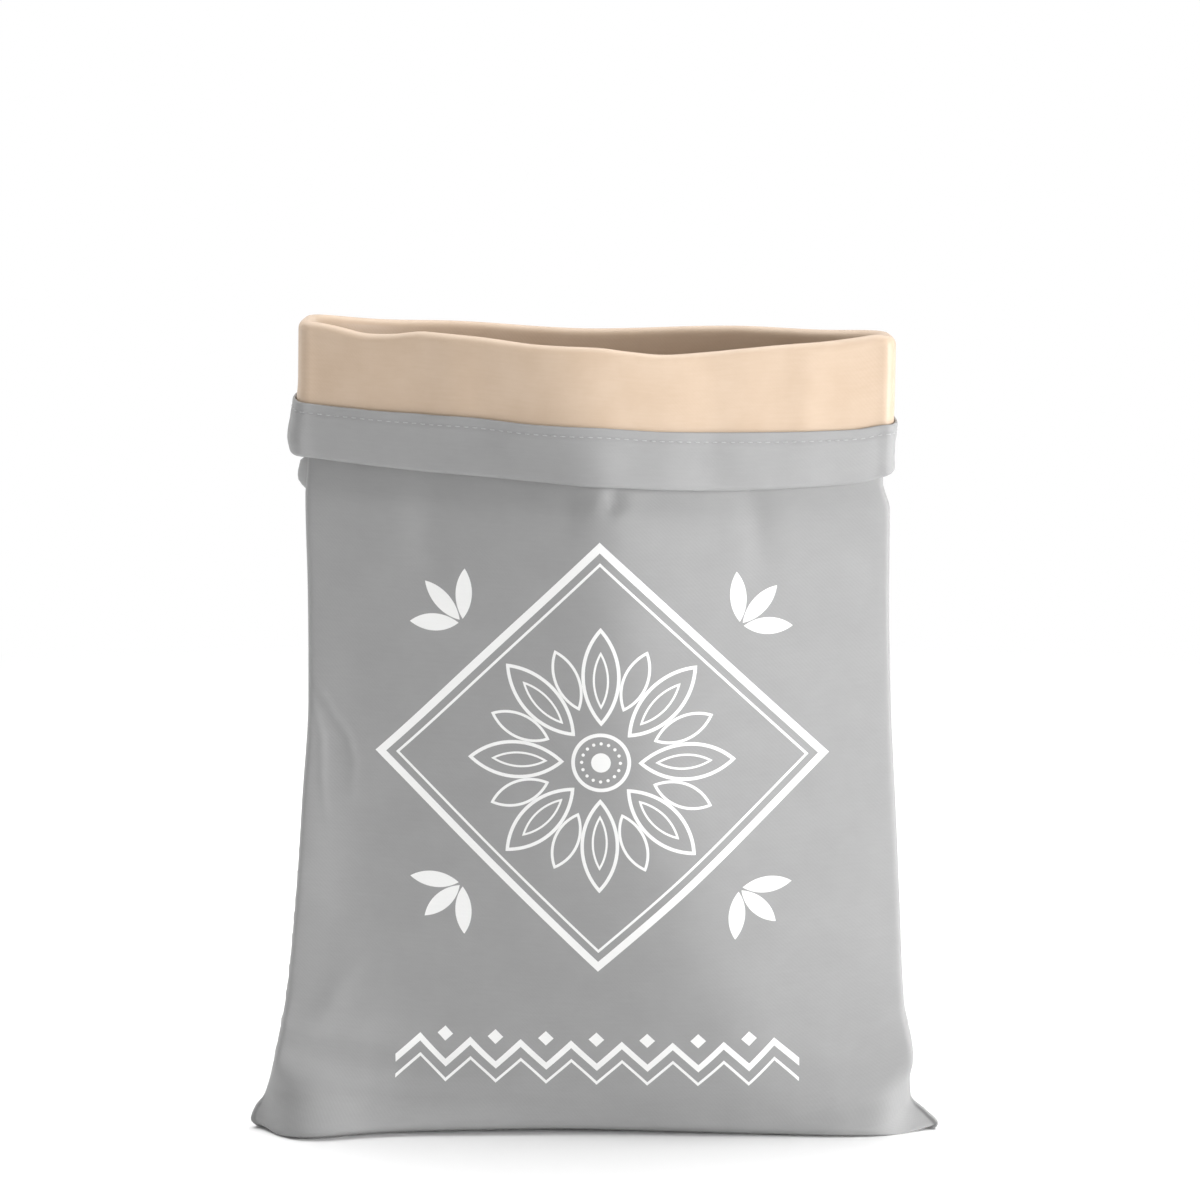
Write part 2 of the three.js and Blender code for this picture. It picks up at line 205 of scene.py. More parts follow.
SIDE_SEAMS = table(
    SeamPlace, (-150.4, 0.5, 146.9, 0.4), (-153.3, 4.2, 148.2, 3.2), (-151.6, 9, 143.4, 7.4),
    (-147.6, 14, 136.8, 13.6), (-145.2, 21, 136.4, 22), (-142.6, 32, 137.2, 32), (-137.4, 59, 132.8, 59),
    (-132.8, 104, 130.2, 104), (-129.2, 148, 127.6, 148), (-126, 192, 125.4, 192),
    (-125.6, 240, 124.4, 236), (-126.2, 280, 124.2, 274), (-125.2, 293.6, 121, 286.3),
    (-123.8, 353.6, 121.8, 346.3),
)
FRONT_SECTIONS = table(
    Section, (0, 0, 12, 1, 0, -20, 0.92), (6, 0, 12, 1, -9, -20, 0.92), (12, 0, 12, 1, -18, -20, 0.92),
    (25.6, 3.7, 13, 0.9, -9, -12, 0.88), (28.6, 9, 9, 0.8, -4, 0, 0.65), (32.2, 19, 6, 0.65, 1.5, 20, 0.5),
    (41.6, 50, 3.8, 0.5, 8.5, 40, 0.2), (51.3, 98, 2.9, 0.45, 14.2, 32, 0),
    (57.5, 144, 2.6, 0.42, 17.2, 22, 0), (61, 189, 2.5, 0.4, 18.3, 14, 0), (63, 233, 2.5, 0.4, 18.9, 8, 0),
    (64, 273, 2.5, 0.4, 19.2, 2, 0), (63, 285.2, 2.5, 0.4, 18.9, 0, 0), (61, 345.2, 2.5, 0.4, 16.5, 0, 0),
)
BACK_SECTIONS = table(
    Section, (0, 0, 12, 1, 0, 10, 0.9), (10, 0, 12, 1, -4, 10, 0.9), (21, 0, 12, 1, -8.4, 10, 0.9),
    (30, 2.2, 12, 0.9, -7.5, 0, 0.82), (37, 8, 8, 0.8, -3.7, -10, 0.65), (41, 18, 5.5, 0.65, 0, -20, 0.5),
    (47, 50, 3.4, 0.5, 2.8, -20, 0.2), (53, 98, 2.6, 0.45, 5.3, -15, 0), (57, 144, 2.4, 0.43, 6.8, -10, 0),
    (59, 189, 2.3, 0.43, 7.1, -5, 0), (60, 233, 2.3, 0.43, 7.2, 0, 0), (60, 274, 2.3, 0.43, 7.2, 5, 0),
    (59, 286, 2.3, 0.43, 7.1, 6, 0), (58, 346, 2.3, 0.43, 7, 8, 0),
)
FRONT_FOLDS = table(
    Fold, (0, 80, 0.06, 0.2, 25, 0), (27, 80, 0.06, 0.22, 25, 0), (40, 80, 0.06, 0.24, 25, 0.8),
    (52, 76, 0.08, 0.26, 24, 1), (62, 70, 0.09, 0.27, 24, 1), (76, 59, 0.13, 0.27, 24, 1),
    (118, 39, 0.2, 0.27, 24, 1), (148, 28, 0.24, 0.27, 22, 1), (194, 15, 0.265, 0.27, 18, 1),
    (245, 8.5, 0.27, 0.27, 15, 1), (296, 4, 0.27, 0.27, 11, 1), (318, 0, 0.27, 0.255, 9, 1),
    (341, -6, 0.27, 0.24, 16, 1), (371, -14, 0.27, 0.24, 22, 1),
)
BACK_FOLDS = table(Fold, (0, 0, 0.1, 0.1, 20, 0), (375, 0, 0.1, 0.1, 20, 0))
FRONT_SWELLS = table(
    Swell, (-0.85, 20, 0.17, 28, 6.5), (-0.6, 50, 0.2, 34, -1.2), (0.62, 48, 0.2, 34, -1.2),
    (-1, 154, 0.14, 60, 4.5),
)
BACK_SWELLS = table(
    Swell, (-0.55, 70, 0.2, 40, -3), (0.45, 140, 0.18, 60, -2.5), (-0.2, 230, 0.2, 55, -2.5),
)
FRONT_CUFF = table(
    CuffPlace, (-1, 2, 4.4, 3.2, -0.3), (-0.96, 2.2, 4.5, 2.8, -1.1), (-0.88, 1.6, 4.6, 2.3, -0.6),
    (-0.79, 0.4, 4.7, 2, 0.3), (-0.7, 1.4, 4.8, 1.6, 0.2), (-0.58, 3.9, 4.8, 1.2, -0.2),
    (-0.42, 3.6, 5, 1, 0.3), (-0.2, 1.5, 4.3, 1.8, 0), (0, 0.5, 2.6, 1.6, 0.1), (0.1, -1.2, 1.8, 0.8, 0.3),
    (0.23, -2.8, 0.5, 1.6, 0.6), (0.37, -2, -0.2, 1, 0.1), (0.5, -0.8, -0.5, 1.9, -0.6),
    (0.65, 0.4, -0.4, 1.6, -1.5), (0.78, 1.2, 0, 0.9, -2.1), (0.89, 2.5, 0.8, 0.5, -2.9),
    (0.96, 3.4, 2.4, -0.2, -3), (1, 2.1, 4.8, -0.8, -2.8),
)
BACK_CUFF = table(
    CuffPlace, (-1, 2, 4.4, 3.2, -0.3), (-0.8, 1.2, 3.6, 2.4, -0.4), (-0.5, 2.4, 2.6, 1.8, 0.4),
    (0, 0.4, 0.6, 2.6, 0), (0.5, 2, 2.4, 1.4, 0.3), (0.8, 1, 2, 1.2, -1.2), (1, 2.1, 4.8, -0.8, -2.8),
)
FLARE_DROPS = (0.0, 25.0, 36.0, 52.0, CUFF_DROP)
FLARE_SHARES = (0.0, 0.02, 0.25, 1.0, 0.5)
EARS = table(Ear, (-1, 103, 153.4, -13), (1, 108, 148.5, -16))

FRONT_CREASES = table(
    Crease, (((7, 290), (6, 283), (2.5, 276)), -1.5, 3.4), (((1, 288), (0.5, 281), (-1.5, 273)), 0.5, 3),
    (((-14, 289), (-14, 278), (-16, 266)), -0.5, 6),
    (((-122.4, 201), (-114.1, 187.2), (-107.8, 177.4), (-105.4, 166.7), (-106.7, 153)), 0.45, 1.8),
    (((-116, 190), (-114, 170), (-115, 150)), -0.7, 7),
    (((-122.5, 191.5), (-119.2, 177.4), (-119.4, 158), (-117.9, 141)), 0.4, 1.6),
    (((-104, 29), (-94, 27)), -0.3, 14), (((-130, 44), (-118, 56), (-106, 80)), 0.8, 6),
    (((60, 287), (66, 272), (69, 250)), -0.9, 6.5), (((-70, 290), (-74, 262), (-71, 236)), -0.7, 8),
)
BACK_CREASES = table(
    Crease, (((-20, 290), (-28, 262), (-24, 226)), -1.6, 6), (((48, 290), (55, 250), (50, 200)), -1.2, 8),
    (((-128, 36), (-112, 56), (-96, 84)), 1.1, 7), (((124, 34), (110, 54), (92, 78)), 1.1, 7),
    (((-60, 130), (-10, 150), (46, 146)), -1, 9),
)
EAR_CREASES = table(
    Crease, (((-151, 10), (-146, 8.5), (-140, 9.5)), -0.7, 1.3),
    (((-149, 5.5), (-144, 4.5), (-138, 5.5)), -0.5, 1.2), (((-146, 19), (-144, 14), (-146, 10)), -0.5, 1.4),
    (((138, 7), (130, 11), (121, 13)), -0.3, 2.6),
)
FRONT_CUFF_CREASES = table(
    Crease, (((-62, 354), (-60, 300)), 0.6, 9), (((44, 350), (48, 292)), -0.6, 9),
    (((88, 350), (84, 290)), 0.5, 8),
)
BACK_CUFF_CREASES = table(
    Crease, (((-50, 352), (-54, 292)), 0.8, 8), (((20, 350), (16, 290)), -0.8, 7),
)


def unit(ways: Array) -> Array:
    """Directions of length 1, with the coordinates on the last axis."""
    return ways / np.linalg.norm(ways, axis=-1, keepdims=True)


def length_along(points: Array) -> Array:
    """Length from a line's first point to each of its points: the steps of the first axis added up."""
    steps = np.linalg.norm(np.diff(points, axis=0), axis=-1)
    return np.concatenate([np.zeros((1, *steps.shape[1:])), np.cumsum(steps, axis=0)])


def smoothstep(value: Array | float, low: float, high: float) -> Array:
    """3t^2 - 2t^3 of t, where t runs from 0 at low to 1 at high."""
    t = np.clip((value - low) / (high - low), 0, 1)
    return t * t * (3 - 2 * t)


def smooth_curve(keys: Array, values: Array) -> Curve:
    """A curve through points that never overshoots them: cubics with harmonic mean slopes at the keys.

    Args:
        keys: rising places of the points.
        values: the curve's values there.

    Returns:
        A function from places to values.
    """
    keys = np.asarray(keys, float)
    values = np.asarray(values, float)
    rise = np.diff(values) / np.diff(keys)
    before, after = rise[:-1], rise[1:]
    both = before + after
    inner = np.where(before * after > 0, 2 * before * after / np.where(both == 0, 1, both), 0)
    slope = np.concatenate([rise[:1], inner, rise[-1:]])

    def curve(at: Array) -> Array:
        """Works the curve out.

        Args:
            at: places.

        Returns:
            The curve's value at each place.
        """
        key = np.clip(at, keys[0], keys[-1])
        i = np.clip(np.searchsorted(keys, key, side="left") - 1, 0, len(keys) - 2)
        span = keys[i + 1] - keys[i]
        t = (key - keys[i]) / span
        bend = t * t * (3 - 2 * t)
        ease = span * t * (1 - t) * ((1 - t) * slope[i] - t * slope[i + 1])
        return values[i] + (values[i + 1] - values[i]) * bend + ease

    return curve


def table_curves(rows: tuple, keys: Array | None = None) -> Curves:
    """One smooth curve for each column of a table, over the keys or else over its first column.

    Args:
        rows: the table's rows.
        keys: rising places of the rows, where no column gives them.

    Returns:
        The curves, by the names of their columns.
    """
    columns = {column.name: [getattr(row, column.name) for row in rows] for column in fields(rows[0])}
    keys = next(iter(columns.values())) if keys is None else keys
    return {name: smooth_curve(keys, values) for name, values in columns.items()}


def read(curves: Curves, at: Array) -> SimpleNamespace:
    """What a table's curves give at each place, by the names of its columns."""
    return SimpleNamespace(**{name: curve(at) for name, curve in curves.items()})


def section_lengths(rows: tuple[Section, ...]) -> Array:
    """Lengths along a panel's middle from the bottom seam to each section: sums of the (depth, z) steps."""
    return length_along(np.array([(row.depth, row.z) for row in rows], float))


SECTION_AT = section_lengths(FRONT_SECTIONS)
RIM_AT = float(SECTION_AT[-1])
RIM_UP = RIM_AT - RIM_CENTRE_DROP
CUFF_END = RIM_AT - CUFF_DROP
CUFF_BLEND = 20.0
SEAM_CURVES = table_curves(SIDE_SEAMS, SECTION_AT)
FLARE_BY_DROP = smooth_curve(FLARE_DROPS, FLARE_SHARES)
# The flat faces run straight almost to the side seams, and then turn in to them
FOLD_EDGE_FULL = 240.0
FOLD_EDGE_BLUNT = 0.45


def crease_height(crease: Crease, x: Array, z: Array) -> Array:
    """Height that a crease adds: height * exp(-(d / width)^2), d the way to its path, faded at its ends.

    Args:
        crease: the crease.
        x, z: places on the bag.

    Returns:
        The height at each place.
    """
    path = np.array(crease.path, float)
    steps = np.diff(path, axis=0)
    lengths = np.linalg.norm(steps, axis=1)
    nearest = np.full(np.shape(x), np.inf)
    along = np.zeros(np.shape(x))
    for (x0, z0), (dx, dz), length, start in zip(path, steps, lengths, length_along(path)):
        t = np.clip(((x - x0) * dx + (z - z0) * dz) / length**2, 0, 1)
        away = np.hypot(x - x0 - t * dx, z - z0 - t * dz)
        closer = away < nearest
        nearest = np.where(closer, away, nearest)
        along = np.where(closer, start + t * length, along)
    fade = 0.3 + 0.7 * np.sin(np.pi * np.clip(along / lengths.sum(), 0, 1))
    return crease.height * fade * np.exp(-((nearest / crease.width) ** 2))


def creases_height(creases: tuple[Crease, ...], x: Array, z: Array) -> Array:
    """The creases' heights added up."""
    return sum((crease_height(crease, x, z) for crease in creases), np.zeros(np.shape(x)))


def seam_turn(x: Array, z: Array) -> Array:
    """How far to the back both panels lie: turn * (share of the way to an ear's tip)^2, less its creases.

    Args:
        x, z: places on the bag.

    Returns:
        The way to the back at each place.
    """
    fade = 1 - smoothstep(z, 0, EAR_HEIGHT)
    turn = sum(
        ear.turn * (np.maximum(0, ear.side * x - ear.start) / (ear.tip - ear.start)) ** 2 * fade
        for ear in EARS
    )
    return turn - creases_height(EAR_CREASES, x, z)


# Where the points on a ply's round ends are, in degrees
ROUND_ANGLES = (45, 0, -45)
ROUND_POINTS = len(ROUND_ANGLES)


@dataclass(frozen=True)
class Ply:
    """A ply's middle line in section: length from the bottom seam, way out of the wall, and thickness."""

    up: Array
    out: Array
    thickness: Array

    def ring(self) -> tuple[Array, Array, Array]:
        """The closed outline of the section: far face, round end, wallward face back, and round start.

        Returns:
            up, out and the length along the ply of each point.
        """
        line = np.stack([self.up, self.out], axis=1)
        along = unit(np.gradient(line, axis=0))
        square = np.stack([-along[:, 1], along[:, 0]], axis=1)
        half = self.thickness[:, None] / 2
        length = length_along(line)
        angles = np.radians(ROUND_ANGLES)[:, None]
        end = line[-1] + half[-1] * (np.cos(angles) * along[-1] + np.sin(angles) * square[-1])
        start = line[0] - half[0] * (np.cos(angles) * along[0] + np.sin(angles) * square[0])
        points = np.concatenate([line + square * half, end, (line - square * half)[::-1], start])
        ends = np.ones(ROUND_POINTS)
        lengths = np.concatenate([length, length[-1] * ends, length[::-1], 0 * ends])
        return points[:, 0], points[:, 1], lengths


def spaced(start: float, stop: float, step: float) -> Array:
    """Even values from start up to, and without, stop, about a step apart."""
    count = max(1, math.ceil(abs(stop - start) / step))
    return np.linspace(start, stop, count, endpoint=False)


def half_turn(centre: tuple[float, float], radius: float, steps: int, sense: int) -> tuple[Array, Array]:
    """A half circle in the section around a centre (up, out): sense 1 goes over it and -1 under it."""
    angle = np.pi * np.arange(1, steps) / steps
    return centre[0] + sense * radius * np.sin(angle), centre[1] - radius * np.cos(angle)


@dataclass(frozen=True)
class Panel:
    """The form of one panel, outer cloth and lining alike."""

    side: Side
    shape: Curves
    folds: Curves
    cuff: Curves
    swells: tuple[Swell, ...]
    creases: tuple[Crease, ...]
    cuff_creases: tuple[Crease, ...]
    pucker: float
    lobe: float

    def outer_face(self, a: Array, up: Array) -> tuple[Array, Array, Array]:
        """The panel's outer face, without its creases.

        With s = sin(pi a / 2): x = middle + half * s, depth = (section's depth - fall from the ridge +
        swells) * (1 - |s|^full)^blunt, and z rises from the middle's height to the seam's with the square
        of the way past the level part. With d = x - the fold's ridge, the flat faces fall by
        (left + right) / 2 * (hypot(d, soft) - soft) + (right - left) / 2 * d instead.

        Args:
            a: place across.
            up: length from the bottom seam.

        Returns:
            x, depth away from the seams, and z.
        """
        s = np.sin(np.pi / 2 * a)
        shape, seam, fold = read(self.shape, up), read(SEAM_CURVES, up), read(self.folds, up)
        half = (seam.right - seam.left) / 2
        fall = shape.ridge * (np.hypot(s - shape.ridge_at / half, RIDGE_SOFTNESS) - RIDGE_SOFTNESS)
        rounding = np.maximum(0, 1 - np.abs(s) ** shape.full) ** shape.blunt
        rise = (np.maximum(0, np.abs(s) - shape.flat) / (1 - shape.flat)) ** 2
        seam_z = np.where(s < 0, seam.left_z, seam.right_z)
        swell = sum(
            row.out * np.exp(-(((s - row.across) / row.wide) ** 2) - ((up - row.up) / row.tall) ** 2)
            for row in self.swells
        ) * np.minimum(1, up / SWELL_START)
        x = (seam.left + seam.right) / 2 + half * s
        depth = (shape.depth - fall + swell) * rounding
        d = x - fold.ridge_at
        fold_fall = (fold.left + fold.right) / 2 * (np.hypot(d, fold.soft) - fold.soft)
        fold_fall += (fold.right - fold.left) / 2 * d
        turn_in = np.maximum(0, 1 - np.abs(s) ** FOLD_EDGE_FULL) ** FOLD_EDGE_BLUNT
        folded = (shape.depth - fold_fall + swell) * turn_in
        depth = depth + (folded - depth) * fold.share
        return x, depth, shape.z + (seam_z - shape.z) * rise

    def outward(self, a: Array, up: Array) -> Array:
        """The direction out of the face: the cross product of its slopes up and across.

        At the ears it turns to the front or back, where the plies lie pressed together, and in the last
        strip to a side seam to the side. In the cuff it is longer at the corners, by |level part| over
        its sum of powers, which makes them squarer.

        Args:
            a: place across.
            up: length from the bottom seam.

        Returns:
            x, depth and z of the direction on the last axis.
        """
        x0, d0, z0 = self.outer_face(np.maximum(-1, a - SLOPE_STEP_ACROSS), up)
        x1, d1, z1 = self.outer_face(np.minimum(1, a + SLOPE_STEP_ACROSS), up)
        u0, e0, w0 = self.outer_face(a, np.maximum(0, up - SLOPE_STEP_UP))
        u1, e1, w1 = self.outer_face(a, np.minimum(RIM_AT, up + SLOPE_STEP_UP))
        along = np.stack([x1 - x0, d1 - d0, z1 - z0], axis=-1)
        climb = np.stack([u1 - u0, e1 - e0, w1 - w0], axis=-1)
        out = unit(np.cross(climb, along))
        at_ear = smoothstep(np.abs(np.sin(np.pi / 2 * a)), EAR_PRESS_FROM, 1)
        ear = (at_ear * (1 - smoothstep(up, 0, EAR_PRESS)))[..., None]
        out = out * (1 - ear) + np.array([0, 1, 0]) * ear
        last_strip = np.clip((np.abs(a) - 1) / SLOPE_STEP_ACROSS + 1, 0, 1)
        pinch = np.clip(1 - self.shape["depth"](up) / PINCH_DEPTH, 0, 1)
        out[..., 1] *= 1 - last_strip * (1 - pinch)
        out = unit(out)
        level = np.abs(out[..., :2])
        corner = np.maximum(0.1, (level**CORNER_POWER).sum(axis=-1) ** (1 / CORNER_POWER))
        squarer = np.maximum(0.1, np.linalg.norm(level, axis=-1)) / corner - 1
        under_cuff = smoothstep(up, CUFF_END - CUFF_BLEND, CUFF_END)
        return out * (1 + squarer * under_cuff)[..., None]

    def wall_relief(self, x: Array, z: Array, chord: Array, left: Array) -> Array:
        """Creases of the wall, puckers along its side seams and the lobe under the cuff's left end.

        The puckers are two sine waves up the seam, each bent by a slower one, in the strip
        exp(-((chord - 9) / 5)^4). The lobe is exp(-((z - 287) / 7.5)^4 - ((chord - 11) / 7.5)^2).

        Args:
            x, z: place on the bag.
            chord: distance from the nearer side seam.
            left: 1 in the left half, 0 in the right half.

        Returns:
            The height out of the face.
        """
        relief = creases_height(self.creases, x, z)
        ripple = np.sin(2 * np.pi * z / 6.7 + 2.1 * np.sin(z / 9.3) + chord / 5)
        ripple += 0.7 * np.sin(2 * np.pi * z / 10.9 + 1.3 * np.sin(z / 17.0) - chord / 7)
        near = np.exp(-(((chord - 9) / 5.0) ** 4)) * smoothstep(z, 20, 50) * (1 - smoothstep(z, 240, 285))
        relief += self.pucker * (0.35 + 0.65 * left) * ripple * near
        relief -= 0.8 * np.exp(-((chord / 1.4) ** 2)) * smoothstep(z, 20, 50)
        relief += 0.25 * np.sin(x / 23 + 1.1 * np.sin(z / 41)) * np.sin(z / 33 + 0.7)
        lobe = np.exp(-(((z - 287) / 7.5) ** 4) - ((chord - 11) / 7.5) ** 2)
        return relief + self.lobe * left * lobe

    def cuff_relief(self, x: Array, z: Array, chord: Array) -> Array:
        """Creases of the cuff, and the dip of its plies along the side seams."""
        return creases_height(self.cuff_creases, x, z) - 0.5 * np.exp(-((chord / 1.6) ** 2))

    def point(self, a: Array, up: Array, out: Array, lining: bool = False) -> Array:
        """Places of points at a distance out of the panel's outer face.

        The point is face + (out + flare + relief) * outward, lifted with the rim's wave and the mouth
        edge, and in the cuff by band * sin(pi * drop / CUFF_DROP) as well. Along its edges the outer cloth
        rolls in by 1 - sqrt(1 - e^2), e the share of the way in from EDGE_ROLL. The lining ends short.

        Args:
            a: place across.
            up: length from the bottom seam.
            out: distance out of the outer face, below zero within the wall and above it in the cuff.
            lining: whether the points belong to the lining.

        Returns:
            The places in metres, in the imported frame.
        """
        across = np.sin(np.pi / 2 * a)
        low = 1 - smoothstep(up, 0, EAR_HEIGHT)
        short = smoothstep(np.abs(across), LINING_SHORT_FROM, 1) * low * LINING_SHORT * lining
        up = up + short
        drop = RIM_AT - up
        x, depth, z = self.outer_face(a, up)
        direction = self.outward(a, up)
        seam = read(SEAM_CURVES, up)
        left = (x < (seam.left + seam.right) / 2).astype(float)
        chord = np.hypot(np.minimum(x - seam.left, seam.right - x), depth)
        in_cuff = np.clip(out / CUFF_CLEARANCE, 0, 1)
        cuff = read(self.cuff, across)
        wall_lift = cuff.rim * smoothstep(LIFT_REACH - drop, 0, LIFT_REACH)
        cuff_lift = cuff.rim + (cuff.edge - cuff.rim) * drop / CUFF_DROP
        cuff_lift += cuff.band * np.sin(np.pi * np.clip(drop / CUFF_DROP, 0, 1))
        lift = wall_lift + (cuff_lift - wall_lift) * in_cuff
        pressed = np.maximum(0, SEAM_GAP / 2 + WALL * np.maximum(0, direction[..., 1]) - depth)
        free = (1 - smoothstep(pressed, 0, 1)) * np.clip(1 + UNDERSIDE_FADE * direction[..., 2], 0, 1)
        under_cuff = smoothstep(up, CUFF_END, CUFF_END + CUFF_BLEND)
        relief = self.wall_relief(x, z, chord, left) * (1 - in_cuff) * (1 - under_cuff) * free
        relief += self.cuff_relief(x, z + lift, chord) * in_cuff
        reach = out + cuff.flare * FLARE_BY_DROP(drop) * in_cuff + relief
        edge = np.clip(1 - np.minimum(chord, up) / EDGE_ROLL, 0, 1)
        roll = (1 - np.sqrt(1 - edge**2)) * smoothstep(pressed, 0.2, 1.2) * (not lining)
        depth = depth + pressed + (reach - (WALL - OUTER_PLY) * roll) * direction[..., 1]
        x = x + reach * direction[..., 0] - short * np.sign(across)
        z = z + reach * direction[..., 2] + lift
        y = self.side.value * depth + seam_turn(x, z)
        return (np.stack([x, y, z], axis=-1) + ROW_SHIFT) * MM


FRONT_PANEL = Panel(
    Side.FRONT, table_curves(FRONT_SECTIONS, SECTION_AT), table_curves(FRONT_FOLDS), table_curves(FRONT_CUFF),
    FRONT_SWELLS, FRONT_CREASES, FRONT_CUFF_CREASES, pucker=0.25, lobe=0.0,
)
BACK_PANEL = Panel(
    Side.BACK, table_curves(BACK_SECTIONS, SECTION_AT), table_curves(BACK_FOLDS), table_curves(BACK_CUFF),
    BACK_SWELLS, BACK_CREASES, BACK_CUFF_CREASES, pucker=0.2, lobe=7.2,
)


def put_in_scene(name: str, points: Array, faces: list, uv: Array | None = None) -> Object:
    """Makes an object of points and faces at the origin.

    Args:
        name: the object's name.
        points: places of the vertices, in metres.
        faces: vertex numbers of each face.
        uv: place of each vertex on the cloth, in metres.

    Returns:
        The object, shaded smooth with sharp edges where faces meet at more than 50 degrees.
    """
    mesh = bpy.data.meshes.new(name)
    mesh.from_pydata(points.reshape(-1, 3), [], faces)
    if uv is not None:
        corners = np.empty(len(mesh.loops), dtype=np.int32)
        mesh.loops.foreach_get("vertex_index", corners)
        mesh.uv_layers.new(name="cloth").data.foreach_set("uv", uv.reshape(-1, 2)[corners].ravel())
    mesh.polygons.foreach_set("use_smooth", np.ones(len(mesh.polygons), dtype=bool))
    mesh.set_sharp_from_angle(angle=SHARP_FROM)
    mesh.update()
    piece = bpy.data.objects.new(name, mesh)
    bpy.context.scene.collection.objects.link(piece)
    return piece


def linear(hex_colour: str) -> tuple[float, float, float, float]:
    """An sRGB hex colour such as 9C9C9E as linear red, green and blue, with alpha 1."""
    srgb = [int(hex_colour[i : i + 2], 16) / 255 for i in (0, 2, 4)]
    return (*[c / 12.92 if c <= 0.04045 else ((c + 0.055) / 1.055) ** 2.4 for c in srgb], 1.0)


def plug(tree: NodeTree, node: Node, inputs: dict) -> None:
    """Sets or links a node's inputs.

    Args:
        tree: the node tree.
        node: the node.
        inputs: values, sockets, or nodes for their first output, by the input's name or number.
    """
    for key, value in inputs.items():
        if isinstance(value, Node):
            value = value.outputs[0]
        if isinstance(value, NodeSocket):
            tree.links.new(value, node.inputs[key])
        else:
            node.inputs[key].default_value = value


def add_node(tree: NodeTree, kind: str, inputs: dict, **settings: str) -> Node:
    """Adds a shader node.

    Args:
        tree: the node tree.
        kind: the node's type, without its first word.
        inputs: what its inputs are set or linked to.
        settings: its own properties.

    Returns:
        The node.
    """
    node = tree.nodes.new(f"ShaderNode{kind}")
    for name, value in settings.items():
        setattr(node, name, value)
    plug(tree, node, inputs)
    return node


def work_out(tree: NodeTree, formulas: str, known: dict) -> dict:
    """Works formulas out with one Math node each.

    Args:
        tree: the node tree.
        formulas: steps "result OPERATION operands", split by semicolons, with names or numbers to work on.
        known: the sockets that the steps start from, by name.

    Returns:
        The named results, the last one where a name is used again.
    """
    values = dict(known)
    for step in filter(str.strip, formulas.split(";")):
        result, operation, *operands = step.split()
        inputs = {i: values[x] if x in values else float(x) for i, x in enumerate(operands)}
        values[result] = add_node(tree, "Math", inputs, operation=operation)
    return values


def new_material(name: str) -> tuple[Material, NodeTree, Node]:
    """Makes a material with nodes.

    Args:
        name: the material's name.

    Returns:
        The material, its node tree and its Principled shader.
    """
    material = bpy.data.materials.new(name)
    material.use_nodes = True
    return material, material.node_tree, material.node_tree.nodes["Principled BSDF"]


@dataclass(frozen=True)
class Petals:
    """A ring of leaves around a middle, each with two arcs for sides.

    count: leaves in a full ring; turn: share of a leaf's step that the ring is turned by; near, far: where
    the tips are; half_width: at the middle; line: width of the outline.
    """

    name: str
    count: float
    turn: float
    near: float
    far: float
    half_width: float
    line: float = 0.0

    def arc(self) -> float:
        """Radius of the sides: (h^2 + w^2) / 2w, with h half the leaf's length and w half its width."""
        half = (self.far - self.near) / 2
        return (half**2 + self.half_width**2) / (2 * self.half_width)

    def formulas(self, radius: str = "radius", angle: str = "angle") -> str:
        """Folds the ring into half a leaf, measures from the arc's centre beside it and marks the outline.

        Args:
            radius, angle: names of the values that say where a point is.

        Returns:
            Steps for work_out.
        """
        sector = math.pi / self.count
        return f"""
            ~turned ADD {angle} {2 * sector * self.turn}; ~fold PINGPONG ~turned {sector};
            ~cos COSINE ~fold; ~sin SINE ~fold; ~along MULTIPLY {radius} ~cos;
            ~u SUBTRACT ~along {(self.near + self.far) / 2};
            ~v MULTIPLY_ADD {radius} ~sin {self.arc() - self.half_width};
            ~uu MULTIPLY ~u ~u; ~sum MULTIPLY_ADD ~v ~v ~uu; ~away SQRT ~sum;
            ~outline COMPARE ~away {self.arc()} {self.line / 2};
        """.replace("~", f"{self.name}_")


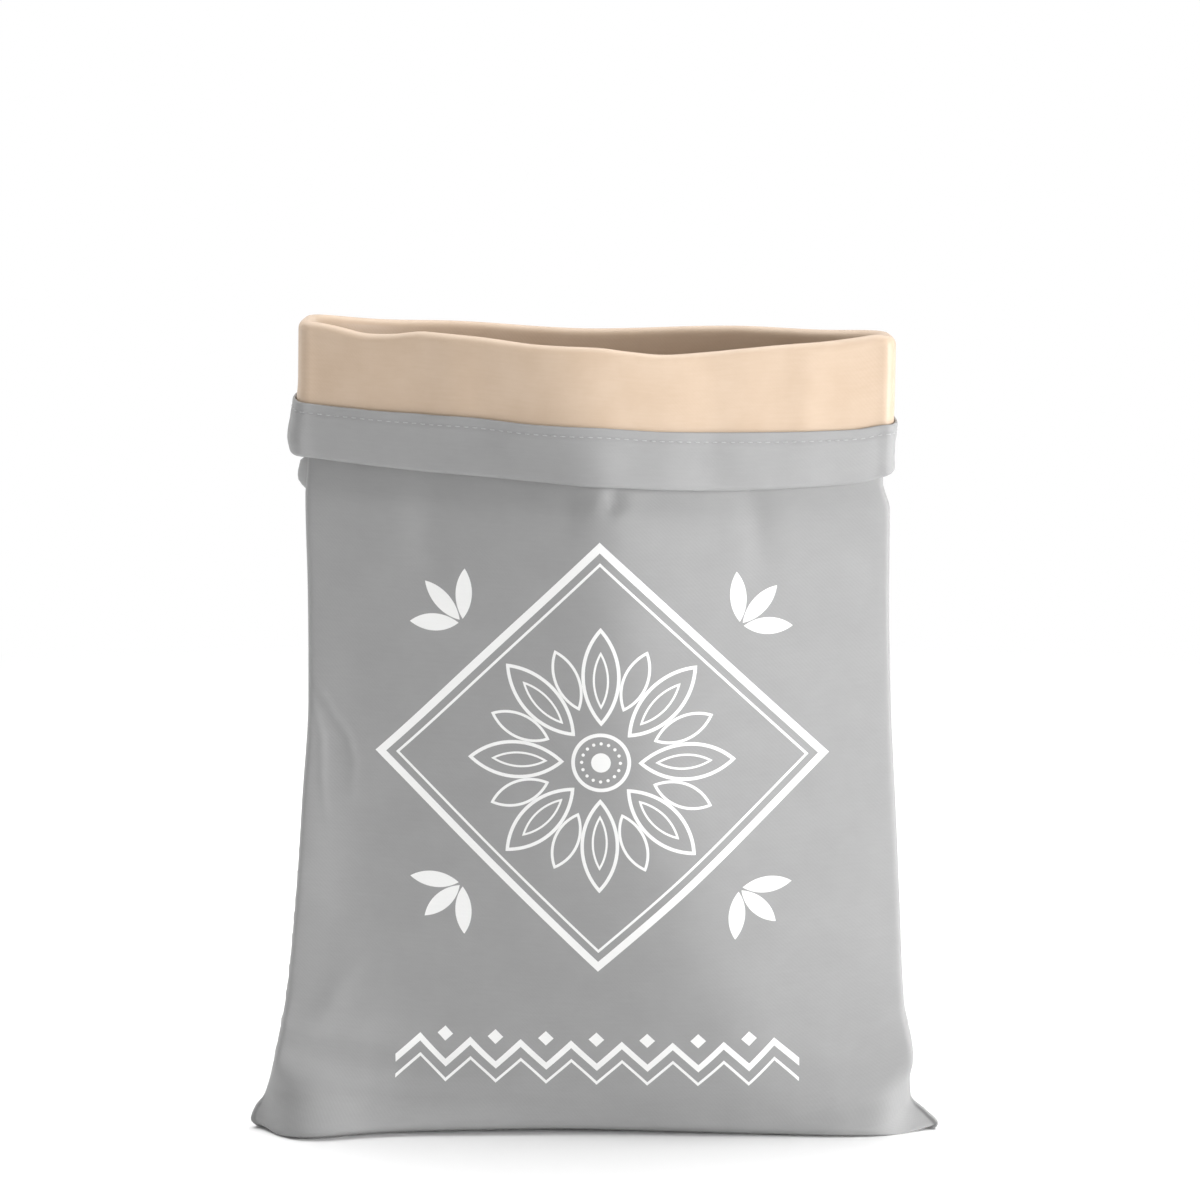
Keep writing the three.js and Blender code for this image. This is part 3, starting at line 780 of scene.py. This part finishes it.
@dataclass(frozen=True)
class ScreenPrint:
    """A screen print of plain ornament on the front: a lozenge around a rosette, over a zigzag border.

    The white ink is a thin smooth film, brighter and a little glossier than the cloth. Its lines are worked
    out in millimetres from the middle of the print, from the cloth's own UV map. "ax" and "ay" are the sizes
    of x and y.
    """

    middle_across: float = 0.8
    middle_up: float = 197.0
    lozenge_wide: float = 97.0
    lozenge_tall: float = 92.0
    border_drop: float = 140.0
    border_half: float = 88.0
    zigzag: float = 11.0
    ink: str = "EFEFEE"
    rings: tuple[Petals, ...] = (
        Petals("long", 8, 0, 17, 57, 7.6, 1.5),
        Petals("inner", 8, 0, 24, 47, 3, 0.9),
        Petals("short", 8, 0.5, 25, 51, 5, 1.2),
    )
    spray: Petals = Petals("spray", 7.5, 0, 1.7, 23.3, 3.6)

    def rosette(self) -> str:
        """The leaves around the middle, a ring, and a round of dots."""
        return """
            xx MULTIPLY x x; rr MULTIPLY_ADD y y xx; radius SQRT rr; angle ARCTAN2 y x;
        """ + "".join(ring.formulas() for ring in self.rings) + f"""
            hub COMPARE radius 12 0.8; eye LESS_THAN radius 4.2;
            dot_fold PINGPONG angle {math.pi / 16}; dot_sin SINE dot_fold; dot_v MULTIPLY radius dot_sin;
            dot_u SUBTRACT radius 8.3; dot_vv MULTIPLY dot_v dot_v; dot_sum MULTIPLY_ADD dot_u dot_u dot_vv;
            dots LESS_THAN dot_sum 0.5;
        """

    def lozenge(self) -> str:
        """A thick and a thin line at one distance from the edges of |x| / wide + |y| / tall = 1."""
        edge = self.lozenge_wide * self.lozenge_tall / math.hypot(self.lozenge_wide, self.lozenge_tall)
        return f"""
            ax ABSOLUTE x; ay ABSOLUTE y; y_part DIVIDE ay {self.lozenge_tall};
            share MULTIPLY_ADD ax {1 / self.lozenge_wide} y_part; past MULTIPLY share {edge};
            frame COMPARE past {edge} 1.65; frame_in COMPARE past {edge - 5.2} 0.55;
        """

    def corner_sprays(self) -> str:
        """Three leaves in each corner that the lozenge leaves free, folded along the corner's diagonal."""
        return f"""
            cx SUBTRACT ax 60; cy SUBTRACT ay 57; c_sum ADD cx cy; c_diff SUBTRACT cx cy;
            c_u MULTIPLY c_sum {math.sqrt(0.5)}; c_raw MULTIPLY c_diff {math.sqrt(0.5)};
            c_v ABSOLUTE c_raw; c_angle ARCTAN2 c_v c_u; c_uu MULTIPLY c_u c_u;
            c_rr MULTIPLY_ADD c_v c_v c_uu; c_radius SQRT c_rr;
            {self.spray.formulas("c_radius", "c_angle")}
            leaf LESS_THAN spray_away {self.spray.arc()}; near LESS_THAN c_angle {math.radians(72)};
            within LESS_THAN c_radius 25; both MULTIPLY near within; sprays MULTIPLY leaf both;
        """

    def border(self) -> str:
        """Two zigzag lines with a row of small diamonds over them."""
        return f"""
            by ADD y {self.border_drop}; zig PINGPONG x {self.zigzag}; over SUBTRACT by zig;
            square MULTIPLY over {math.sqrt(0.5)}; low COMPARE square -5.6 0.6; high COMPARE square 0 1.3;
            zigs MAXIMUM low high; inside LESS_THAN ax {self.border_half}; zigzags MULTIPLY zigs inside;
            gem_v SUBTRACT by {self.zigzag + 2.5}; gem_size ABSOLUTE gem_v; gem_sum ADD zig gem_size;
            gem LESS_THAN gem_sum 3.4; gems_end LESS_THAN ax {self.border_half - self.zigzag};
            gems MULTIPLY gem gems_end;
        """

    def mask(self, tree: NodeTree, cloth_uv: NodeSocket) -> Node:
        """Adds the print's nodes.

        Args:
            tree: the material's node tree.
            cloth_uv: the cloth's own UV map, in metres.

        Returns:
            The node that gives 1 where there is ink.
        """
        middle = (-self.middle_across, -self.middle_up, 0)
        placed = add_node(tree, "Mapping", {"Vector": cloth_uv, "Scale": (1 / MM,) * 3, "Location": middle})
        parts = add_node(tree, "SeparateXYZ", {"Vector": placed})
        marks = [f"{ring.name}_outline" for ring in self.rings]
        marks += ["dots", "frame", "frame_in", "sprays", "zigzags", "gems"]
        joined = "ink MAXIMUM hub eye;" + "".join(f"ink MAXIMUM ink {mark};" for mark in marks)
        formulas = self.rosette() + self.lozenge() + self.corner_sprays() + self.border() + joined
        return work_out(tree, formulas, {"x": parts.outputs[0], "y": parts.outputs[1]})["ink"]


@dataclass(frozen=True)
class WovenCloth:
    """Plain-woven cotton, of which each finish of the bag is a kind.

    thread is the spacing of its threads in the pattern, in millimetres. The real one is about 0.4, too fine
    to show, so it is drawn coarser. mottle is the size of the patches in which the colour wanders.
    """

    name: str
    colour: str
    colour_low: str
    roughness: float
    weave_height: float
    mottle: float
    thread: float = 0.9

    def build(self, ink: ScreenPrint | None = None) -> Material:
        """Makes the material, reading the piece's own UV map.

        Args:
            ink: the print on the cloth, if it has one.

        Returns:
            The material.
        """
        material, tree, shader = new_material(self.name)
        uv = add_node(tree, "UVMap", {}, uv_map="cloth").outputs[0]
        patches = add_node(tree, "TexNoise", {
            "Vector": uv, "Scale": 1 / (self.mottle * MM), "Detail": 3.0, "Roughness": 0.55,
        })
        # Thicker places in the threads, drawn out along them
        drawn = add_node(tree, "Mapping", {"Vector": uv, "Scale": (0.12, 1.0, 1.0)})
        slubs = add_node(tree, "TexNoise", {
            "Vector": drawn, "Scale": 1 / (self.thread * 1.3 * MM), "Detail": 2.0,
        })
        parts = add_node(tree, "SeparateXYZ", {"Vector": uv})
        turns = math.pi / (self.thread * MM)
        # The weave is sin(u) * sin(v), high where one thread passes over the other
        worked = work_out(tree, f"""
            u MULTIPLY u {turns}; v MULTIPLY v {turns}; u SINE u; v SINE v; weave MULTIPLY u v;
            height MULTIPLY_ADD slubs 0.5 weave; share MULTIPLY_ADD slubs 0.35 patches;
        """, {"u": parts.outputs[0], "v": parts.outputs[1], "slubs": slubs, "patches": patches})
        spread = add_node(tree, "MapRange", {"Value": worked["share"], 1: 0.45, 2: 0.9})
        colour = add_node(tree, "Mix", {
            0: spread, 6: linear(self.colour_low), 7: linear(self.colour),
        }, data_type="RGBA").outputs[2]
        rough = add_node(tree, "MapRange", {
            "Value": patches, 3: self.roughness - 0.05, 4: self.roughness + 0.05,
        })
        if ink:
            mask = ink.mask(tree, uv)
            cover = add_node(tree, "MapRange", {"Value": slubs, 3: 0.97, 4: 0.9})
            inked = work_out(tree, "amount MULTIPLY mask cover; rough MULTIPLY_ADD mask -0.12 rough",
                             {"mask": mask, "cover": cover, "rough": rough})
            rough = inked["rough"]
            colour = add_node(tree, "Mix", {
                0: inked["amount"], 6: colour, 7: linear(ink.ink),
            }, data_type="RGBA").outputs[2]
        bump = add_node(tree, "Bump", {
            "Strength": 0.3, "Distance": self.weave_height * MM, "Height": worked["height"],
        })
        plug(tree, shader, {
            "Base Color": colour, "Roughness": rough, "Normal": bump, "IOR": 1.45, "Specular IOR Level": 0.4,
        })
        return material


# Cotton canvas with a waxed face: matte grey with a faint soft sheen and hardly any weave to see
COATED_CANVAS = WovenCloth("coated cotton canvas", "979797", "929292", 0.62, 0.04, 22.0)
PRINTED_CANVAS = replace(COATED_CANVAS, name="printed cotton canvas")
# Cotton soaked in beeswax: warm beige, smoother and a little glossy, with cloudy patches
WAXED_COTTON = WovenCloth("beeswax cotton", "C5B09B", "BEA892", 0.45, 0.03, 16.0)


@dataclass(frozen=True)
class SewingThread:
    """Spun polyester thread: pale, matte, with a twist that shows as fine slanted bands, whose grooves are
    painted darker as painted shade.
    """

    colour: str = "B4B4B5"
    # colour_low is painted shade: the colour put in the grooves of the twist
    colour_low: str = "A6A6A8"
    roughness: float = 0.7
    twist: float = 0.45

    def build(self) -> Material:
        """Makes the material, reading Object coordinates.

        Returns:
            The material.
        """
        material, tree, shader = new_material("spun polyester thread")
        place = add_node(tree, "TexCoord", {}).outputs["Object"]
        bands = add_node(tree, "TexWave", {
            "Vector": place, "Scale": 0.314 / (self.twist * MM), "Distortion": 0.6,
        }, bands_direction="DIAGONAL").outputs["Fac"]
        bump = add_node(tree, "Bump", {"Strength": 0.4, "Distance": 0.1 * MM, "Height": bands})
        # Where the bands are low in the bump, in the grooves of the twist, they get colour_low: painted shade
        shade = add_node(tree, "Mix", {
            0: bands, 6: linear(self.colour_low), 7: linear(self.colour),
        }, data_type="RGBA").outputs[2]
        plug(tree, shader, {"Base Color": shade, "Normal": bump, "Roughness": self.roughness})
        return material


def dress(piece: Object, material: Material, slot: str) -> Object:
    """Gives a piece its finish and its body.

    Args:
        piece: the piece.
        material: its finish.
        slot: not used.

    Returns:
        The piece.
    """
    piece.data.materials.append(material)
    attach(piece, BODY)
    return piece


def ring_quads(starts: Array, count: int) -> Array:
    """Quads from each ring of points to the next one.

    Args:
        starts: first vertex of each ring that has a next one.
        count: points in a ring.

    Returns:
        Four vertex numbers for each quad.
    """
    place = np.arange(count)
    after = (place + 1) % count
    starts = starts[..., None]
    ends = starts + count
    return np.stack([starts + place, starts + after, ends + after, ends + place], axis=-1).reshape(-1, 4)


def face_list(side: Side, *groups: Array) -> list:
    """All the faces as one list, turned round for the front, whose grid is the back's in a mirror."""
    turn = -1 if side is Side.FRONT else 1
    return [face for group in groups for face in group[:, ::turn].tolist()]


@dataclass(frozen=True)
class ClothPanel:
    """A sheet of cloth that makes one ply of one panel.

    columns is how many strips the mesh has from seam to seam, fine and coarse are its row spacings where
    it shows and where it doesn't, and turn_steps is how many steps make half a turn.
    """

    name: str
    node: str
    panel: Panel
    slot: str
    columns: int
    fine: float
    turn_steps: int
    coarse: float = 4.0
    lining: bool = False

    def ply(self) -> Ply:
        """The middle line of this ply in section."""
        raise NotImplementedError

    def build(self, material: Material) -> Object:
        """Makes the sheet: the ply's outline carried across the panel from one side seam to the other.

        Args:
            material: the cloth's finish.

        Returns:
            The sheet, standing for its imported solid.
        """
        up, out, lengths = self.ply().ring()
        a = np.linspace(-1, 1, self.columns + 1)
        across, ups = np.meshgrid(a, up, indexing="ij")
        points = self.panel.point(across, ups, np.broadcast_to(out, ups.shape), self.lining)
        reach = length_along(points)
        uv = np.stack([reach - reach[self.columns // 2], np.broadcast_to(lengths * MM, reach.shape)], axis=2)
        sheet = put_in_scene(self.name, points, self.faces(len(up)), uv)
        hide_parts(self.node)
        return dress(sheet, material, self.slot)

    def faces(self, count: int) -> list:
        """Faces between neighbouring columns all round the outline, and the two ends at the seams.

        Args:
            count: points around the outline.

        Returns:
            The faces, turned outwards.
        """
        quads = ring_quads(np.arange(self.columns) * count, count)
        rows = count // 2 - ROUND_POINTS
        far = np.arange(rows - 1)
        wallward = 2 * rows + ROUND_POINTS - 1 - far
        first = np.stack([far, wallward, wallward - 1, far + 1], axis=1)
        round_start = np.append(0, np.arange(count - 1, wallward[0] - 1, -1))
        rounds = np.stack([np.arange(rows + ROUND_POINTS, rows - 2, -1), round_start])
        last = self.columns * count
        return face_list(self.panel.side, quads, first, first[:, ::-1] + last, rounds, rounds[:, ::-1] + last)


@dataclass(frozen=True)
class OuterPanel(ClothPanel):
    """Grey cloth of one panel: up the wall, over the rim, down the cuff and up again as the hem band."""

    slot: str = "outer_cloth"
    columns: int = 156
    fine: float = 1.7
    turn_steps: int = 8
    band_step: float = 1.2
    fold_length: float = 5.5
    fold_rows: int = 14
    below_cuff: float = 6.0

    def ply(self) -> Ply:
        """Wall, rim fold, cuff, mouth edge and hem band, which is thicker where its edge is folded in.

        Returns:
            The cloth's middle line.
        """
        hem_up = RIM_AT - HEM_CENTRE_DROP
        shown = CUFF_END - self.below_cuff
        wall = np.concatenate([spaced(0, shown, self.fine), spaced(shown, RIM_UP, self.coarse), [RIM_UP]])
        fold_up, fold_out = half_turn((RIM_UP, RIM_CENTRE_OUT), OUTER_RIM_RADIUS, self.turn_steps, 1)
        cuff = np.append(spaced(RIM_UP, hem_up, self.coarse), hem_up)
        turn_up, turn_out = half_turn((hem_up, HEM_CENTRE_OUT), HEM_RADIUS, self.turn_steps, -1)
        fold_end = BAND_TOP_DROP + self.fold_length
        band = spaced(HEM_CENTRE_DROP, fold_end, self.band_step)
        band_drop = np.append(band, np.linspace(fold_end, BAND_TOP_DROP, self.fold_rows))
        pull = STITCH_PULL * np.exp(-(((band_drop - STITCH_DROP) / STITCH_PULL_REACH) ** 2))
        fold_from = BAND_TOP_DROP + BAND_FOLD_REACH
        swollen = BAND_FOLD * (1 - smoothstep(band_drop, fold_from - BAND_FOLD_BLEND, fold_from))
        up = np.concatenate([wall, fold_up, cuff, turn_up, RIM_AT - band_drop])
        out = np.concatenate([
            np.full(len(wall), -OUTER_PLY / 2), fold_out,
            np.full(len(cuff), RIM_CENTRE_OUT + OUTER_RIM_RADIUS), turn_out,
            BAND_OUT + swollen / 2 - pull,
        ])
        thickness = np.full(len(up), OUTER_PLY)
        thickness[-len(band_drop):] += swollen
        return Ply(up, out, thickness)


@dataclass(frozen=True)
class LiningPanel(ClothPanel):
    """Waxed lining of one panel: up inside the wall, over the rim and down under the hem band."""

    slot: str = "waxed_lining"
    columns: int = 120
    fine: float = 1.4
    turn_steps: int = 10
    lining: bool = True
    seen_drop: float = 90.0

    def ply(self) -> Ply:
        """Wall, rim fold, and the cuff down to where it is tucked under the hem band.

        Returns:
            The lining's middle line.
        """
        tuck_up = RIM_AT - BAND_TOP_DROP - LINING_TUCK
        seen = RIM_AT - self.seen_drop
        wall = np.concatenate([spaced(0, seen, self.coarse), spaced(seen, RIM_UP, self.fine), [RIM_UP]])
        fold_up, fold_out = half_turn((RIM_UP, RIM_CENTRE_OUT), LINING_RIM_RADIUS, self.turn_steps, 1)
        cuff = np.append(spaced(RIM_UP, tuck_up, self.fine), tuck_up)
        up = np.concatenate([wall, fold_up, cuff])
        out = np.concatenate([
            np.full(len(wall), LINING_PLY / 2 - WALL), fold_out,
            np.full(len(cuff), RIM_CENTRE_OUT + LINING_RIM_RADIUS),
        ])
        return Ply(up, out, np.full(len(up), LINING_PLY))


@dataclass(frozen=True)
class HemStitches:
    """The row of stitches that holds the hem band's folded edge."""

    name: str
    panel: Panel
    length: float = 2.5
    gap: float = 1.3
    radius: float = 0.21
    sides: int = 6
    rings: int = 7
    row_end: float = 0.998
    row_steps: int = 2000

    def build(self, material: Material) -> Object:
        """Makes the stitches.

        Each is a tube along the band at STITCH_DROP whose middle line is an arch: its height over the
        cloth is the radius times 0.7 - 1.9 t^4, t from -1 to 1 along it, so its ends go into the cloth.

        Args:
            material: the thread's finish.

        Returns:
            All the stitches of one panel as one piece.
        """
        surface = BAND_OUT + (OUTER_PLY + BAND_FOLD) / 2 - STITCH_PULL + BAND_FOLD / 2
        fine = np.linspace(-self.row_end, self.row_end, self.row_steps)
        row = self.on_band(fine, np.full(self.row_steps, surface))
        reach = length_along(row) / MM
        count = int((reach[-1] - self.gap) // (self.length + self.gap))
        starts = self.gap + np.arange(count) * (self.length + self.gap)
        t = np.linspace(-1, 1, self.rings)
        across = np.interp(starts[:, None] + (t + 1) / 2 * self.length, reach, fine)
        height = surface + self.radius * (0.7 - 1.9 * t**4) + np.zeros_like(across)
        middle = self.on_band(across, height)
        outward = unit(self.on_band(across, height + 1) - middle)
        along = unit(np.gradient(middle, axis=1))
        beside = np.cross(along, outward)
        angle = (2 * np.pi * np.arange(self.sides) / self.sides)[:, None]
        thick = self.radius * MM * np.sqrt(1 - 0.75 * t**4)[None, :, None, None]
        ring = np.cos(angle) * outward[:, :, None, :] + np.sin(angle) * beside[:, :, None, :]
        points = middle[:, :, None, :] + thick * ring
        piece = put_in_scene(self.name, points, self.faces(count))
        return dress(piece, material, "outer_cloth")

    def on_band(self, across: Array, out: Array) -> Array:
        """Places on the hem band along the row of stitches."""
        return self.panel.point(across, np.full(across.shape, RIM_AT - STITCH_DROP), out)

    def faces(self, count: int) -> list:
        """Quads along each tube and a cap at each of its ends.

        Args:
            count: number of stitches.

        Returns:
            The faces, turned outwards.
        """
        stitch = np.arange(count)[:, None] * self.rings * self.sides
        quads = ring_quads(stitch + np.arange(self.rings - 1) * self.sides, self.sides)
        starts = stitch + np.arange(self.sides)
        ends = starts + (self.rings - 1) * self.sides
        return face_list(self.panel.side, quads, starts[:, ::-1], ends)


@dataclass(frozen=True)
class BreadBag:
    """The bag: two panels of grey cloth with their linings, and the stitches of the hem band.

    The flat sizes are what each cloth was cut to, in metres.
    """

    outer_flat: tuple[float, float] = (0.300, 0.460)
    lining_flat: tuple[float, float] = (0.300, 0.420)

    def build(self) -> list[Object]:
        """Builds and dresses every piece.

        Returns:
            The pieces.
        """
        pieces = []
        canvas = COATED_CANVAS.build()
        printed = PRINTED_CANVAS.build(ScreenPrint())
        waxed = WAXED_COTTON.build()
        thread = SewingThread().build()
        for panel, word, finish in ((FRONT_PANEL, "front", printed), (BACK_PANEL, "back", canvas)):
            outer = OuterPanel(f"outer_{word}_sheet", f"outer_{word}_panel", panel).build(finish)
            lining = LiningPanel(f"lining_{word}_sheet", f"lining_{word}_panel", panel).build(waxed)
            stitches = HemStitches(f"hem_stitches_{word}", panel).build(thread)
            pieces += [outer, lining, stitches]
        return pieces


@dataclass(frozen=True)
class Studio:
    """Pale floor, pale surroundings, a large soft light from the right and the camera."""

    floor_half: float = 3.0
    floor_colour: str = "F9F9F9"
    fade_from: float = 0.7
    fade_to: float = 1.5
    backdrop: float = 1.0
    room_light: float = 0.42
    fill_light: float = 1.0
    overhead_share: float = 0.2
    fill_way: tuple[float, float, float] = (-0.8, 0.6, 0.0)
    key_azimuth: float = 66.0
    key_height: float = 6.0
    key_distance: float = 2.2
    key_size: float = 1.0
    key_power: float = 75.0
    floor_light_power: float = 150.0
    floor_light_size: float = 4.0
    floor_light_at: tuple[float, float, float] = (0.0, 0.7, 2.6)
    camera_at: tuple[float, float, float] = (2.45, -1698.56, 455.0)
    camera_aim: tuple[float, float, float] = (2.45, 1.44, 232.0)
    lens: float = 118.3

    def build(self) -> None:
        """Puts floor, light, surroundings and camera in the scene."""
        scene = bpy.context.scene
        scene.view_settings.view_transform = "Standard"
        scene.view_settings.look = "None"
        self.floor()
        self.world(scene)
        azimuth, height = math.radians(self.key_azimuth), math.radians(self.key_height)
        way = Vector((math.sin(azimuth) * math.cos(height), -math.cos(azimuth) * math.cos(height),
                      math.sin(height)))
        self.area_light("key", way * self.key_distance, way, self.key_size, self.key_power)
        self.area_light("floor_light", Vector(self.floor_light_at), Vector((0, 0, 1)),
                        self.floor_light_size, self.floor_light_power)
        data = bpy.data.cameras.new("camera")
        data.lens = self.lens
        data.sensor_width = 36.0
        data.clip_end = 30.0
        at = Vector(self.camera_at) * MM
        scene.camera = self.put("camera", data, at, at - Vector(self.camera_aim) * MM)

    def floor(self) -> None:
        """A smooth pale floor with a faint grain, which fades into the white backdrop far from the bag."""
        half = self.floor_half
        corners = half * np.array([(-1, -1, 0), (1, -1, 0), (1, 1, 0), (-1, 1, 0)])
        floor = put_in_scene("floor", corners, [[0, 1, 2, 3]])
        material, tree, shader = new_material("painted studio floor")
        place = add_node(tree, "TexCoord", {}).outputs["Object"]
        grain = add_node(tree, "TexNoise", {"Vector": place, "Scale": 40.0, "Detail": 2.0})
        rough = add_node(tree, "MapRange", {"Value": grain, 3: 0.75, 4: 0.85})
        plug(tree, shader, {
            "Base Color": linear(self.floor_colour), "Specular IOR Level": 0.2, "Roughness": rough,
        })
        away = add_node(tree, "VectorMath", {0: place}, operation="LENGTH").outputs["Value"]
        far = add_node(tree, "MapRange", {
            "Value": away, 1: self.fade_from, 2: self.fade_to,
        }, interpolation_type="SMOOTHSTEP")
        share = add_node(tree, "Math", {0: far, 1: self.seen(tree)}, operation="MULTIPLY")
        white = add_node(tree, "Emission", {"Color": (1, 1, 1, 1), "Strength": self.backdrop})
        faded = add_node(tree, "MixShader", {0: share, 1: shader, 2: white})
        plug(tree, tree.nodes["Material Output"], {"Surface": faded})
        floor.data.materials.append(material)

    def world(self, scene: Scene) -> None:
        """A white backdrop all round, and pale light, brighter low down and from the left and behind.

        Args:
            scene: the scene.
        """
        scene.world = bpy.data.worlds.new("pale surroundings")
        scene.world.use_nodes = True
        tree = scene.world.node_tree
        way = add_node(tree, "TexCoord", {}).outputs["Generated"]
        toward = add_node(tree, "VectorMath", {0: way, 1: self.fill_way}, operation="DOT_PRODUCT")
        light = add_node(tree, "MapRange", {
            "Value": toward.outputs["Value"], 1: -0.1, 2: 0.9, 3: self.room_light, 4: self.fill_light,
        }, interpolation_type="SMOOTHSTEP")
        height = add_node(tree, "SeparateXYZ", {"Vector": way}).outputs["Z"]
        low_down = add_node(tree, "MapRange", {
            "Value": height, 1: 0.1, 2: 0.7, 3: 1.0, 4: self.overhead_share,
        }, interpolation_type="SMOOTHSTEP")
        light = add_node(tree, "Math", {0: light, 1: low_down}, operation="MULTIPLY")
        strength = add_node(tree, "Mix", {
            0: self.seen(tree), 2: light.outputs[0], 3: self.backdrop,
        }, data_type="FLOAT")
        plug(tree, tree.nodes["Background"], {"Color": (1, 1, 1, 1), "Strength": strength})

    def seen(self, tree: NodeTree) -> NodeSocket:
        """1 for what the camera sees by itself, 0 for what lights or mirrors it."""
        return add_node(tree, "LightPath", {}).outputs["Is Camera Ray"]

    def area_light(self, name: str, place: Vector, away: Vector, size: float, power: float) -> None:
        """Adds a square light.

        Args:
            name: its name.
            place: where it is, in metres.
            away: the direction that its back faces.
            size: its side, in metres.
            power: in watts.
        """
        data = bpy.data.lights.new(name, "AREA")
        data.size = size
        data.energy = power
        self.put(name, data, place, away)

    def put(self, name: str, data: ID, place: Vector, away: Vector) -> Object:
        """Puts a light or camera in the scene.

        Args:
            name: its name.
            data: the light or camera.
            place: where it is, in metres.
            away: the direction that its back faces.

        Returns:
            Its object.
        """
        item = bpy.data.objects.new(name, data)
        item.location = place
        item.rotation_euler = away.to_track_quat("Z", "Y").to_euler()
        bpy.context.scene.collection.objects.link(item)
        return item


def main() -> None:
    """Builds the bag, reports each of its pieces, and builds the studio around it."""
    logging.basicConfig(level=logging.INFO, format="%(name)s: %(message)s")
    for piece in BreadBag().build():
        LOG.info("%s: %d faces", piece.name, len(piece.data.polygons))
    Studio().build()


if __name__ == "__main__":
    main()
